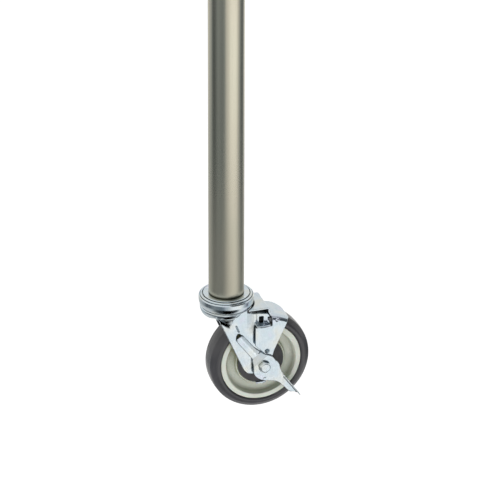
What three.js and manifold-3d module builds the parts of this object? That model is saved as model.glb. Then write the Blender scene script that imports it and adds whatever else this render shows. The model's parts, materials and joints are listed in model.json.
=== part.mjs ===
// Equipment stand leg: a round tube on a 5 inch swivel caster with a side lever brake.
// Millimetres. +Z runs up the tube, +X is the way the wheel trails, -Y is the brake side.
// The model is built from the tube's bottom end at z = 0, then lowered by the tube's length,
// so the finished part has its origin on the swivel axis at the top end of the tube.
import * as THREE from 'three';
import { mergeVertices } from 'three/addons/utils/BufferGeometryUtils.js';
import Module from 'manifold-3d';

const wasm = await Module();
wasm.setup();

// ---------------------------------------------------------------- driving dimensions
const TUBE_DIAMETER = 42.4;
const TUBE_WALL = 1.5;
const TUBE_LENGTH = 450;
const WHEEL_DIAMETER = 127;
const WHEEL_WIDTH = 32;
const TREAD_FLAT = 20;
const CORE_DIAMETER = 101;
const TRAIL = 39.4;
const AXLE_DROP = 94.3;
const PLATE = 3;
const FORK_INSIDE = 38;
const CUP_RADIUS = 29.5;
const SKIRT_RADIUS = 33.2;
const KINGPIN_RADIUS = 8;
const AXLE_RADIUS = 4;
const HEX_FLATS = 13;
const LEVER_PLATE = 2.4;
const BRAKE_PLATE = 2;
const GAP = 0.3;

// ---------------------------------------------------------------- sizes that follow
const TUBE_RADIUS = TUBE_DIAMETER / 2;
const BORE_RADIUS = TUBE_RADIUS - TUBE_WALL;
const WHEEL_RADIUS = WHEEL_DIAMETER / 2;
const CORE_RADIUS = CORE_DIAMETER / 2;
const AXLE = new THREE.Vector3(TRAIL, 0, -AXLE_DROP);
const LEG_INNER = FORK_INSIDE / 2;
const LEG_OUTER = LEG_INNER + PLATE;

// heights of the swivel head, downwards from the tube's bottom end
const TOP_DISC = { radius: 27.8, top: -0.3, bottom: -2.6 };
const RACEWAY = { radius: 31.5, rim: -1.2, top: -2.9, bottom: -5.4, groove: 1 };
const SKIRT = { top: -3.1, bottom: -15.4, wall: 1.4 };
const CUP = { top: -13.6, under: -16.4, bottom: -25 };
const CUP_RIM = { behind: -25, beside: -20, ahead: -17.2 };
const LOWER_RACE = { radius: 19, top: -23, bottom: -25.4 };
const SHOULDER_END = -42;

// the cup bellies out a little under the skirt: [height, radius] down its wall
const CUP_WALL = [[-15.2, 29.5], [-17.8, 31.8], [-20, 31.6], [-22.5, 30.9], [-25, 29.7]];

// the layers of the brake, outwards from the fork's near leg (towards -Y)
const STRIP_INNER = LEG_OUTER + 0.7;
const STRIP_OUTER = STRIP_INNER + LEVER_PLATE;
const HUB_INNER = LEG_OUTER + 3.6;
const HUB_OUTER = HUB_INNER + LEVER_PLATE;
const SHOE_INNER = LEG_OUTER + 3.3;
const SHOE_OUTER = SHOE_INNER + BRAKE_PLATE;
const HOOK = { left: 29.5, right: 46.5, top: -38.4, lip: -41.2, reach: 30, thick: 1.8 };
const WINDOW = { left: 34.4, right: 39.8, top: -29.4 };

// ---------------------------------------------------------------- geometry helpers
const ROUND = 48;
const WHEEL_SIDES = 48;
const HIDDEN_SIDES = 24;

// One closed surface: shared corners merged, and triangles that have lost their area dropped.
function weld(geometry) {
  geometry.deleteAttribute('normal');
  geometry.deleteAttribute('uv');
  const merged = mergeVertices(geometry, 1e-4);
  const corners = [];
  for (let i = 0; i < merged.index.count; i += 3) {
    const triangle = [0, 1, 2].map((k) => merged.index.getX(i + k));
    if (new Set(triangle).size === 3) corners.push(...triangle);
  }
  merged.setIndex(corners);
  return merged;
}

function toSolid(geometry) {
  const welded = weld(geometry);
  const mesh = new wasm.Mesh({
    numProp: 3,
    vertProperties: welded.attributes.position.array,
    triVerts: new Uint32Array(welded.index.array),
  });
  return new wasm.Manifold(mesh);
}

function toGeometry(solid) {
  const mesh = solid.getMesh();
  const geometry = new THREE.BufferGeometry();
  geometry.setAttribute('position', new THREE.BufferAttribute(mesh.vertProperties, 3));
  geometry.setIndex(new THREE.BufferAttribute(mesh.triVerts, 1));
  return geometry;
}

const join = (...parts) => toGeometry(parts.map(toSolid).reduce((a, b) => a.add(b)));
function cut(body, ...tools) {
  return toGeometry(tools.map(toSolid).reduce((a, b) => a.subtract(b), toSolid(body)));
}

const common = (a, b) => toGeometry(toSolid(a).intersect(toSolid(b)));

// A closed outline from corners [x, y] or [x, y, radius]; a radius rounds that corner.
function outline(corners) {
  const shape = new THREE.Shape();
  const count = corners.length;
  const point = (i) => new THREE.Vector2(...corners[(i + count) % count].slice(0, 2));
  for (let i = 0; i < count; i += 1) {
    const here = point(i);
    const radius = corners[i][2] ?? 0;
    const before = point(i - 1).sub(here).normalize();
    const after = point(i + 1).sub(here).normalize();
    const half = Math.acos(THREE.MathUtils.clamp(before.dot(after), -1, 1)) / 2;
    const reach = radius / Math.tan(half);
    const start = here.clone().addScaledVector(before, reach);
    if (i === 0) shape.moveTo(start.x, start.y);
    else shape.lineTo(start.x, start.y);
    if (radius > 0) {
      const end = here.clone().addScaledVector(after, reach);
      shape.quadraticCurveTo(here.x, here.y, end.x, end.y);
    }
  }
  shape.closePath();
  return shape;
}

// A ring or disc about the Z axis from the corners [radius, z] of its section.
function turned(corners, segments = ROUND, arcSteps = 2) {
  const points = outline(corners).getPoints(arcSteps);
  if (!points[0].equals(points.at(-1))) points.push(points[0].clone());
  const geometry = new THREE.LatheGeometry(points, segments);
  return weld(geometry.rotateX(Math.PI / 2));
}

// The same, about the wheel's axle; the section's second number is then -y.
// Half a step of turn puts a flat facet, not an edge, at the very bottom.
function turnedOnAxle(corners, segments, arcSteps) {
  const geometry = turned(corners, segments, arcSteps).rotateZ(Math.PI / segments);
  return geometry.rotateX(Math.PI / 2).translate(AXLE.x, 0, AXLE.z);
}

// A plate cut to an outline in X and Z, between two distances from the centre plane.
function sidePlate(shape, near, far, curveSegments = 5) {
  const settings = { depth: far - near, bevelEnabled: false, curveSegments };
  const geometry = new THREE.ExtrudeGeometry(shape, settings);
  return geometry.rotateX(Math.PI / 2).translate(0, far, 0);
}

function box(x0, x1, y0, y1, z0, z1) {
  const geometry = new THREE.BoxGeometry(x1 - x0, y1 - y0, z1 - z0);
  return geometry.translate((x0 + x1) / 2, (y0 + y1) / 2, (z0 + z1) / 2);
}

// A round bar along Y through the axle centre.
function axleBar(radius, y0, y1, segments = 32) {
  const geometry = new THREE.CylinderGeometry(radius, radius, y1 - y0, segments);
  return geometry.translate(AXLE.x, (y0 + y1) / 2, AXLE.z);
}

// A ring of bearing balls held by a thin cage, about the Z axis.
function cagedBalls(radius, ballDiameter, count, z) {
  const halfCage = 0.5;
  const halfWidth = ballDiameter * 0.36;
  const cage = turned([
    [radius - halfWidth, z - halfCage],
    [radius + halfWidth, z - halfCage],
    [radius + halfWidth, z + halfCage],
    [radius - halfWidth, z + halfCage],
  ], HIDDEN_SIDES);
  const balls = [];
  for (let i = 0; i < count; i += 1) {
    const angle = (i / count) * Math.PI * 2;
    const ball = new THREE.OctahedronGeometry(ballDiameter / 2, 1);
    balls.push(ball.translate(radius * Math.cos(angle), radius * Math.sin(angle), z));
  }
  return join(cage, ...balls);
}

// ---------------------------------------------------------------- leg
function legTube() {
  return turned([
    [BORE_RADIUS, 0],
    [TUBE_RADIUS, 0],
    [TUBE_RADIUS, TUBE_LENGTH],
    [BORE_RADIUS, TUBE_LENGTH],
  ]);
}

// The expanding fitting that grips the bore: base, rubber sleeve, cone and clamping nut.
const EXPANDER = { base: 5.5, sleeve: 40, cone: 52, nut: 60 };

function expanderBase() {
  return turned([
    [KINGPIN_RADIUS + GAP, GAP],
    [BORE_RADIUS - GAP, GAP],
    [BORE_RADIUS - GAP, EXPANDER.base, 1],
    [KINGPIN_RADIUS + GAP, EXPANDER.base],
  ], HIDDEN_SIDES);
}

function expanderSleeve() {
  const radius = BORE_RADIUS - 0.1;
  return turned([
    [KINGPIN_RADIUS + GAP, EXPANDER.base + GAP],
    [radius, EXPANDER.base + GAP, 1],
    [radius, EXPANDER.sleeve],
    [KINGPIN_RADIUS + 5, EXPANDER.sleeve],
    [KINGPIN_RADIUS + GAP, EXPANDER.sleeve - 12],
  ], HIDDEN_SIDES);
}

function expanderCone() {
  return turned([
    [KINGPIN_RADIUS + GAP, EXPANDER.sleeve - 11],
    [KINGPIN_RADIUS + 4.5, EXPANDER.sleeve + GAP],
    [BORE_RADIUS - 2, EXPANDER.sleeve + GAP],
    [BORE_RADIUS - 2, EXPANDER.cone, 1.5],
    [KINGPIN_RADIUS + GAP, EXPANDER.cone],
  ], HIDDEN_SIDES);
}

function hexRing(flats, bore, z0, z1) {
  const hex = new THREE.CylinderGeometry(flats / Math.sqrt(3), flats / Math.sqrt(3), z1 - z0, 6);
  const hole = new THREE.CylinderGeometry(bore, bore, z1 - z0 + 2, 24);
  return cut(hex, hole).rotateX(Math.PI / 2).translate(0, 0, (z0 + z1) / 2);
}

// ---------------------------------------------------------------- swivel head
function topDisc() {
  return turned([
    [KINGPIN_RADIUS + GAP, TOP_DISC.bottom],
    [TOP_DISC.radius, TOP_DISC.bottom],
    [TOP_DISC.radius, TOP_DISC.top, 1],
    [KINGPIN_RADIUS + GAP, TOP_DISC.top],
  ]);
}

function racewayPlate() {
  return turned([
    [KINGPIN_RADIUS + GAP, RACEWAY.bottom],
    [RACEWAY.radius, RACEWAY.bottom],
    [RACEWAY.radius, RACEWAY.rim, 1.5],
    [TOP_DISC.radius + RACEWAY.groove, RACEWAY.rim],
    [TOP_DISC.radius + RACEWAY.groove, RACEWAY.top],
    [KINGPIN_RADIUS + GAP, RACEWAY.top],
  ]);
}

// The outer skirt hangs over the bearing and curls in under its lower edge.
function swivelSkirt() {
  const inner = SKIRT_RADIUS - SKIRT.wall;
  return turned([
    [inner, SKIRT.top],
    [inner, -8.6],
    [inner - 0.6, -12.4],
    [SKIRT_RADIUS - 2.3, SKIRT.bottom + 0.8],
    [SKIRT_RADIUS - 1.7, SKIRT.bottom],
    [SKIRT_RADIUS - 0.6, -13.2],
    [SKIRT_RADIUS, -9.4],
    [SKIRT_RADIUS, -4.6, 0.8],
    [SKIRT_RADIUS - 0.5, SKIRT.top],
  ]);
}

function kingpin() {
  return turned([
    [0, -32],
    [KINGPIN_RADIUS, -32, 1],
    [KINGPIN_RADIUS, EXPANDER.nut + 3, 1],
    [0, EXPANDER.nut + 3],
  ], HIDDEN_SIDES);
}

function lowerRace() {
  return turned([
    [KINGPIN_RADIUS + GAP, LOWER_RACE.bottom],
    [LOWER_RACE.radius, LOWER_RACE.bottom, 0.8],
    [LOWER_RACE.radius, LOWER_RACE.top],
    [KINGPIN_RADIUS + GAP, LOWER_RACE.top],
  ], HIDDEN_SIDES);
}

// ---------------------------------------------------------------- fork
function cupRadius(z) {
  const below = CUP_WALL.findIndex(([height]) => height < z);
  if (below < 0) return CUP_WALL.at(-1)[1];
  if (below === 0) return CUP_WALL[0][1];
  const [[z0, r0], [z1, r1]] = [CUP_WALL[below - 1], CUP_WALL[below]];
  return THREE.MathUtils.mapLinear(z, z0, z1, r0, r1);
}

// How far a leg's outer face stands from the centre plane. Behind a slanting line it leaves
// the round cup and flows inwards over the shoulder; ahead of the line the leg is flat.
function legFace(x, z) {
  const cupFace = Math.sqrt(Math.max(cupRadius(z) ** 2 - x ** 2, LEG_OUTER ** 2));
  const shoulder = THREE.MathUtils.smoothstep(-z, -CUP_RIM.beside, -SHOULDER_END);
  const line = 4.9 + (z + 25.4) * 0.53;
  const ahead = THREE.MathUtils.smoothstep(x, line - 6, line);
  return THREE.MathUtils.lerp(cupFace, LEG_OUTER, Math.max(shoulder, ahead));
}

// A sheet of the plate's thickness that follows legFace; side is -1 near, +1 far.
function legSheet(side) {
  const low = new THREE.Vector2(-26, -112);
  const high = new THREE.Vector2(58, CUP.under + 0.5);
  const sheet = new THREE.BoxGeometry(1, 1, 1, 26, 1, 12);
  const place = sheet.attributes.position;
  for (let i = 0; i < place.count; i += 1) {
    const x = THREE.MathUtils.lerp(low.x, high.x, place.getX(i) + 0.5);
    const rise = (place.getZ(i) + 0.5) ** 0.55;
    const z = THREE.MathUtils.lerp(low.y, high.y, rise);
    const outside = place.getY(i) * side > 0;
    place.setXYZ(i, x, side * (legFace(x, z) - (outside ? 0 : PLATE)), z);
  }
  return sheet;
}

// The near leg's top edge slopes down under the brake shoe.
function legOutline(side) {
  const plain = [[51, -38], [48.6, -19.2, 3], [19.6, -18.6]];
  const relieved = [[51, -45], [48, -41, 1], [48, -30.2, 1], [45.5, -26.5, 1], [19.6, -22]];
  return outline([
    [-19.6, CUP.under + 0.2],
    [-19.6, -25.5],
    [-15.6, -27.5, 3],
    [18, -105.6, 12],
    [51, -105.6, 9],
    ...(side > 0 ? plain : relieved),
    [19.6, CUP.under + 0.2],
  ]);
}

function forkLeg(side) {
  const reach = CUP_RADIUS + 2;
  const near = side > 0 ? LEG_INNER - 2 : -reach;
  const far = side > 0 ? reach : -LEG_INNER + 2;
  return common(legSheet(side), sidePlate(legOutline(side), near, far));
}

// The cup's wall is deepest behind; beside and ahead of the legs it stops higher.
function forkCup() {
  const cup = turned([
    [KINGPIN_RADIUS + 2, CUP.under],
    [CUP_RADIUS - PLATE, CUP.under],
    ...CUP_WALL.slice(1).map(([z, radius]) => [radius - PLATE, z]),
    ...[...CUP_WALL].reverse().map(([z, radius]) => [radius, z]),
    [CUP_RADIUS, CUP.top, 2.5],
    [KINGPIN_RADIUS + 2, CUP.top],
  ]);
  const below = outline([
    [-40, CUP.bottom - 5],
    [40, CUP.bottom - 5],
    [40, CUP_RIM.ahead],
    [0, CUP_RIM.ahead],
    [-13, CUP_RIM.beside],
    [-26, CUP_RIM.behind],
    [-40, CUP_RIM.behind],
  ]);
  return cut(cup, sidePlate(below, -40, 40));
}

// The hook stands out of the near leg and holds the brake plate's top edge: its fulcrum.
function brakeHook() {
  const lipInner = HOOK.reach - HOOK.thick;
  const section = outline([
    [LEG_OUTER - 1, HOOK.top],
    [LEG_OUTER - 1, HOOK.top - HOOK.thick],
    [lipInner, HOOK.top - HOOK.thick],
    [lipInner, HOOK.lip],
    [HOOK.reach, HOOK.lip],
    [HOOK.reach, HOOK.top, 1.8],
  ]);
  const depth = HOOK.right - HOOK.left;
  const bar = new THREE.ExtrudeGeometry(section, { depth, bevelEnabled: false, curveSegments: 4 });
  const basis = new THREE.Matrix4().makeBasis(
    new THREE.Vector3(0, -1, 0),
    new THREE.Vector3(0, 0, 1),
    new THREE.Vector3(-1, 0, 0),
  );
  return bar.applyMatrix4(basis).translate(HOOK.right, 0, 0);
}

function fork() {
  const body = join(forkCup(), forkLeg(-1), forkLeg(1), brakeHook());
  const inside = -LEG_INNER + 1;
  const window = box(WINDOW.left, WINDOW.right, -LEG_OUTER - 1, inside, HOOK.top, WINDOW.top);
  const oval = new THREE.CylinderGeometry(3.2, 3.2, PLATE + 4, 20).scale(1, 1, 1.7);
  oval.translate(9, -LEG_OUTER, -54);
  const axleHole = axleBar(AXLE_RADIUS + 0.2, -LEG_OUTER - 2, LEG_OUTER + 2, 24);
  return cut(body, window, oval, axleHole);
}

// ---------------------------------------------------------------- axle
function axleBolt() {
  const headInner = HUB_OUTER + 0.2;
  const headOuter = headInner + 5.4;
  const shank = axleBar(AXLE_RADIUS, -headInner - 1, LEG_OUTER + 12, 24);
  const corner = HEX_FLATS / Math.sqrt(3);
  const head = new THREE.CylinderGeometry(corner, corner, 5.4, 6);
  head.rotateY(Math.PI / 6 + 0.2).translate(AXLE.x, -(headInner + headOuter) / 2, AXLE.z);
  const bevel = turnedOnAxle([
    [0, headInner - 1],
    [9, headInner - 1],
    [9, headOuter - 3.7],
    [5.3, headOuter],
    [0, headOuter],
  ], 24, 1);
  return join(shank, common(head, bevel));
}

function axleRing(radius, bore, y0, y1) {
  return turnedOnAxle([
    [bore, -y1],
    [radius, -y1],
    [radius, -y0],
    [bore, -y0],
  ], 24, 1);
}

function axleNut() {
  const inner = LEG_OUTER + 2.2;
  const length = 7.8;
  const corner = HEX_FLATS / Math.sqrt(3);
  const bore = AXLE_RADIUS + 0.1;
  const hex = new THREE.CylinderGeometry(corner, corner, length, 6);
  const hole = new THREE.CylinderGeometry(bore, bore, length + 2, 24);
  return cut(hex, hole).translate(AXLE.x, inner + length / 2, AXLE.z);
}

// ---------------------------------------------------------------- wheel
const BEARING = { outer: 15, inner: 9.2, sleeve: 6.2, width: 8 };
const HUB = { radius: 29.4, face: 12.2, boss: 12 };

// Both faces of a wheel part share one section, mirrored about the centre plane.
function mirrored(half) {
  return [...half, ...half.map(([r, y, round]) => [r, -y, round]).reverse()];
}

function tread() {
  const half = WHEEL_WIDTH / 2;
  return turnedOnAxle(mirrored([
    [CORE_RADIUS + 0.1, -half + 1],
    [CORE_RADIUS + 2, -half],
    [WHEEL_RADIUS - 7, -half, 4],
    [WHEEL_RADIUS, -TREAD_FLAT / 2, 3],
  ]), WHEEL_SIDES, 2);
}

function wheelCore() {
  const rim = WHEEL_WIDTH / 2 - 0.8;
  return turnedOnAxle(mirrored([
    [BEARING.outer + 0.1, -10],
    [BEARING.outer + 0.1, -HUB.face + 1],
    [28, -HUB.face + 1],
    [30.6, -HUB.face],
    [32.4, -8.2, 2],
    [41, -8.2, 3],
    [44.4, -rim],
    [CORE_RADIUS, -rim],
  ]), WHEEL_SIDES, 2);
}

function hubCap(side) {
  const face = HUB.face - 1 + GAP;
  const section = [
    [BEARING.inner + 1, face],
    [27.6, face],
    [HUB.radius, face + 1.4],
    [HUB.radius - 1.5, face + 2.2],
    [HUB.boss + 2, face + 2.2],
    [HUB.boss, LEG_INNER - 0.9],
    [BEARING.inner + 1, LEG_INNER - 0.9],
  ];
  const placed = section.map(([r, y, round]) => [r, -side * y, round]);
  return turnedOnAxle(side > 0 ? placed.reverse() : placed, 36, 1);
}

function bearingRing(side, bore, radius) {
  const y0 = side > 0 ? 1.5 : -1.5 - BEARING.width;
  return axleRing(radius, bore, y0, y0 + BEARING.width);
}

function axleSleeve() {
  return axleRing(BEARING.sleeve, AXLE_RADIUS + 0.1, -LEG_INNER + GAP, LEG_INNER - GAP);
}

// ---------------------------------------------------------------- brake
// Points of the lever are given from the axle's centre.
const STRIP_DIRECTION = THREE.MathUtils.degToRad(126.6);
const STRIP = { half: 5.2, start: 10.6, end: 52 };

function leverHub() {
  const hub = 15.3;
  const shape = new THREE.Shape();
  shape.moveTo(-13.3, -6);
  shape.lineTo(-13.3, 7.6);
  shape.absarc(0, 0, hub, THREE.MathUtils.degToRad(150), THREE.MathUtils.degToRad(22), true);
  shape.quadraticCurveTo(19, 3, 20, -4);
  shape.quadraticCurveTo(20.6, -9.6, 27.4, -18.6);
  shape.lineTo(36, -32);
  shape.lineTo(45.5, -44.6);
  shape.quadraticCurveTo(41, -43.4, 38.5, -41.5);
  shape.lineTo(33.2, -41);
  shape.lineTo(21.5, -28.2);
  shape.quadraticCurveTo(17.5, -23.3, 12, -22.2);
  shape.lineTo(-2.9, -18.8);
  shape.quadraticCurveTo(-13.3, -13.6, -13.3, -6);
  return sidePlate(shape, -HUB_OUTER, -HUB_INNER, 8);
}

// The strip is the wedge that slides behind the brake shoe: its leading edge is ramped.
// It is drawn along X and then turned to its direction.
function leverStrip() {
  const strip = outline([
    [STRIP.start, -9.6],
    [STRIP.start + 3.4, -9],
    [STRIP.start + 16, -STRIP.half - 0.6, 8],
    [STRIP.end, -STRIP.half, 3.6],
    [STRIP.end, STRIP.half, 3.6],
    [STRIP.start + 5.4, STRIP.half],
    [STRIP.start, 8],
  ]);
  const step = outline([
    [STRIP.start, -9.6],
    [STRIP.start + 2.6, -9],
    [STRIP.start + 2.6, 6.5],
    [STRIP.start, 8],
  ]);
  const blade = sidePlate(strip, -STRIP_OUTER, -STRIP_INNER, 4);
  const joggle = sidePlate(step, -HUB_OUTER, -STRIP_INNER, 4);
  const ramp = box(STRIP.start + 4, STRIP.end + 2, -3, 0, -12, 8);
  ramp.rotateX(Math.atan(0.2)).translate(0, -STRIP_OUTER, -STRIP.half + 4.5);
  return cut(join(blade, joggle), ramp).rotateY(-STRIP_DIRECTION);
}

function brakeLever() {
  const lip = outline([
    [26.4, -17],
    [45.5, -44.6],
    [43.6, -43.8],
    [25, -18.2],
  ]);
  const pedal = sidePlate(lip, -HUB_OUTER - 6.5, -HUB_INNER);
  const stop = box(-10.5, 2.2, -HUB_OUTER, -STRIP_INNER, -22.6, -20.6);
  const stopRoot = box(-1, 2.2, -HUB_OUTER, -HUB_INNER, -21, -17);
  const body = join(leverHub(), leverStrip(), pedal, stop, stopRoot).translate(AXLE.x, 0, AXLE.z);
  return cut(body, axleBar(AXLE_RADIUS + 0.2, -HUB_OUTER - 2, -HUB_INNER + 2, 24));
}

// The shoe: a plate that lies level beside the swivel head, drops, and then follows the tread
// at a small distance. Its side face hangs down outside the fork's near leg.
const SHOE = { top: -15.2, shelfEdge: -28.2, shelfEnd: 48.2, right: 71.8, reach: 14.5, corner: 14 };
const SHOE_CURVE = WHEEL_RADIUS + 2 + BRAKE_PLATE;

// Points of a curve about the axle, at one radius, between two distances along X.
function aroundWheel(radius, from, to, steps = 6) {
  return Array.from({ length: steps + 1 }, (unused, i) => {
    const x = THREE.MathUtils.lerp(from, to, i / steps);
    return [x, AXLE.z + Math.sqrt(radius ** 2 - (x - AXLE.x) ** 2)];
  });
}

function shoeTop() {
  const section = outline([
    [18, SHOE.top],
    [18, SHOE.top - BRAKE_PLATE],
    [43.4, SHOE.top - BRAKE_PLATE, 1],
    [44.2, -22.7, 2],
    [49.2, -29.2, 2],
    ...aroundWheel(SHOE_CURVE - BRAKE_PLATE, 50.5, SHOE.right + 2),
    ...aroundWheel(SHOE_CURVE, SHOE.right + 2, 51.4),
    [50.2, -27.9, 2],
    [46.2, -22.2, 3],
    [45.2, SHOE.top, 2.5],
  ]);
  const plan = outline([
    [18, SHOE.shelfEdge],
    [SHOE.shelfEnd, SHOE.shelfEdge],
    [SHOE.shelfEnd, -SHOE_OUTER],
    [SHOE.right, -SHOE_OUTER, 2],
    [SHOE.right, SHOE.reach, SHOE.corner],
    [18, SHOE.reach],
  ]);
  const depth = 40;
  const floor = -50;
  const tool = new THREE.ExtrudeGeometry(plan, { depth, bevelEnabled: false, curveSegments: 6 });
  tool.translate(0, 0, floor);
  const reach = SKIRT_RADIUS + 0.6;
  const ring = new THREE.CylinderGeometry(reach, reach, depth, ROUND);
  ring.rotateX(Math.PI / 2).translate(0, 0, floor + depth / 2);
  return cut(common(sidePlate(section, SHOE.shelfEdge - 1, SHOE.reach + 1), tool), ring);
}

function shoeFace() {
  const arc = 16.3;
  const shape = new THREE.Shape();
  const bottom = HOOK.top - HOOK.thick - 0.9;
  shape.moveTo(28.2, bottom);
  shape.lineTo(28.2, -65.3);
  shape.absarc(AXLE.x, AXLE.z, arc, THREE.MathUtils.degToRad(86), THREE.MathUtils.degToRad(50), true);
  shape.lineTo(51.7, -75.2);
  shape.lineTo(69.6, -36);
  for (const [x, z] of aroundWheel(SHOE_CURVE - 1, 69.6, 51.4)) shape.lineTo(x, z);
  shape.lineTo(49.4, -28);
  shape.lineTo(49.4, bottom);
  shape.closePath();
  return sidePlate(shape, -SHOE_OUTER, -SHOE_INNER, 8);
}

const SIGHT_HOLE = { x: 42.9, z: -74.5, radius: 2.9 };

function brakeShoe() {
  const hole = new THREE.CylinderGeometry(SIGHT_HOLE.radius, SIGHT_HOLE.radius, 8, 20);
  hole.translate(SIGHT_HOLE.x, -SHOE_INNER, SIGHT_HOLE.z);
  const rivetHole = new THREE.CylinderGeometry(1.5, 1.5, 8, 12);
  rivetHole.translate(RIVET.x, -SHOE_INNER, RIVET.z);
  const near = SHOE_OUTER + 1;
  const edge = turnedOnAxle([
    [SHOE_CURVE - 3.4, near],
    [SHOE_CURVE + 0.6, near - 4],
    [SHOE_CURVE + 0.6, near],
  ], WHEEL_SIDES, 1);
  return cut(join(shoeTop(), shoeFace()), hole, rivetHole, edge);
}

// A leaf spring riveted inside the shoe's face bears on the fork's leg and lifts the shoe.
const RIVET = new THREE.Vector3(55.5, 0, -34.2);
const LEAF = { half: 2.4, tip: 45.6, bend: 50.4 };

function returnSpring() {
  const low = RIVET.z - LEAF.half;
  const high = RIVET.z + LEAF.half;
  const leaf = outline([
    [LEAF.bend - 0.6, low],
    [RIVET.x + 3, low, 1.5],
    [RIVET.x + 3, high, 1.5],
    [LEAF.bend - 0.6, high],
  ]);
  const foot = box(LEAF.tip, LEAF.bend, -SHOE_INNER + 0.5, -SHOE_INNER + 1.1, low, high);
  const blade = join(sidePlate(leaf, -SHOE_INNER + 0.2, -SHOE_INNER + 0.8, 4), foot);
  const hole = new THREE.CylinderGeometry(1.6, 1.6, 6, 12);
  return cut(blade, hole.translate(RIVET.x, -SHOE_INNER, RIVET.z));
}

function springRivet() {
  const shank = new THREE.CylinderGeometry(1.4, 1.4, BRAKE_PLATE + 2.4, 16);
  shank.translate(RIVET.x, -SHOE_INNER - 0.4, RIVET.z);
  const head = new THREE.SphereGeometry(2.6, 16, 10, 0, Math.PI * 2, 0, Math.PI);
  head.scale(1, 0.5, 1).translate(RIVET.x, -SHOE_OUTER - 1.4, RIVET.z);
  return join(shank, head);
}

// ---------------------------------------------------------------- materials
function material(color, roughness, metalness) {
  return new THREE.MeshStandardMaterial({ color, roughness, metalness });
}

const FINISH = {
  stainless: material(0xb3ab98, 0.34, 1),
  zinc: material(0xccd6da, 0.22, 1),
  steel: material(0x8d9194, 0.3, 1),
  polyurethane: material(0x4b494f, 0.5, 0),
  cream: material(0xd6dbc4, 0.42, 0),
  cap: material(0x45444a, 0.55, 0),
  rubber: material(0x1e1e20, 0.75, 0),
};

// ---------------------------------------------------------------- assembly
const object = new THREE.Group();
object.position.z = -TUBE_LENGTH;

function add(name, geometry, finish) {
  const mesh = new THREE.Mesh(weld(geometry), finish);
  mesh.name = name;
  object.add(mesh);
}

add('leg_tube', legTube(), FINISH.stainless);
add('expander_base', expanderBase(), FINISH.steel);
add('expander_sleeve', expanderSleeve(), FINISH.rubber);
add('expander_cone', expanderCone(), FINISH.steel);
add('expander_nut', hexRing(24, KINGPIN_RADIUS + 0.1, EXPANDER.cone + GAP, EXPANDER.nut), FINISH.zinc);
add('top_disc', topDisc(), FINISH.zinc);
add('raceway_plate', racewayPlate(), FINISH.zinc);
add('swivel_skirt', swivelSkirt(), FINISH.zinc);
add('kingpin', kingpin(), FINISH.steel);
add('upper_balls', cagedBalls(21.5, 7.9, 9, (RACEWAY.bottom + CUP.top) / 2), FINISH.steel);
add('lower_balls', cagedBalls(14.2, 6.3, 7, (CUP.under + LOWER_RACE.top) / 2), FINISH.steel);
add('lower_race', lowerRace(), FINISH.zinc);
add('kingpin_nut', hexRing(24, KINGPIN_RADIUS + 0.1, -31, LOWER_RACE.bottom - GAP), FINISH.zinc);

add('fork', fork(), FINISH.zinc);
add('axle_bolt', axleBolt(), FINISH.zinc);
add('axle_washer', axleRing(8, AXLE_RADIUS + 0.1, LEG_OUTER + 0.2, LEG_OUTER + 1.9), FINISH.zinc);
add('axle_nut', axleNut(), FINISH.zinc);
add('lever_spacer', axleRing(8, AXLE_RADIUS + 0.1, -HUB_INNER + 0.2, -LEG_OUTER - 0.2), FINISH.zinc);
add('axle_sleeve', axleSleeve(), FINISH.steel);

add('tread', tread(), FINISH.polyurethane);
add('wheel_core', wheelCore(), FINISH.cream);
for (const [end, side] of [['near', -1], ['far', 1]]) {
  add(`hub_cap_${end}`, hubCap(side), FINISH.cap);
  add(`bearing_outer_${end}`, bearingRing(side, 13, BEARING.outer), FINISH.steel);
  add(`bearing_inner_${end}`, bearingRing(side, BEARING.sleeve + 0.1, BEARING.inner), FINISH.steel);
}

add('brake_lever', brakeLever(), FINISH.zinc);
add('brake_shoe', brakeShoe(), FINISH.zinc);
add('return_spring', returnSpring(), FINISH.steel);
add('spring_rivet', springRivet(), FINISH.zinc);

export default object;
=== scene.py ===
"""The looks of an equipment stand leg: a satin tube on a locking swivel caster.

Every length below is in millimetres until a piece is placed. Heights in the swivel head are
measured from the tube's bottom end, and the wheel and brake from the middle of the axle.
+X is the way the wheel trails, -Y the side with the brake lever.
"""

import json
import math

import bpy
import numpy as np
from mathutils import Matrix, Vector


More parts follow.
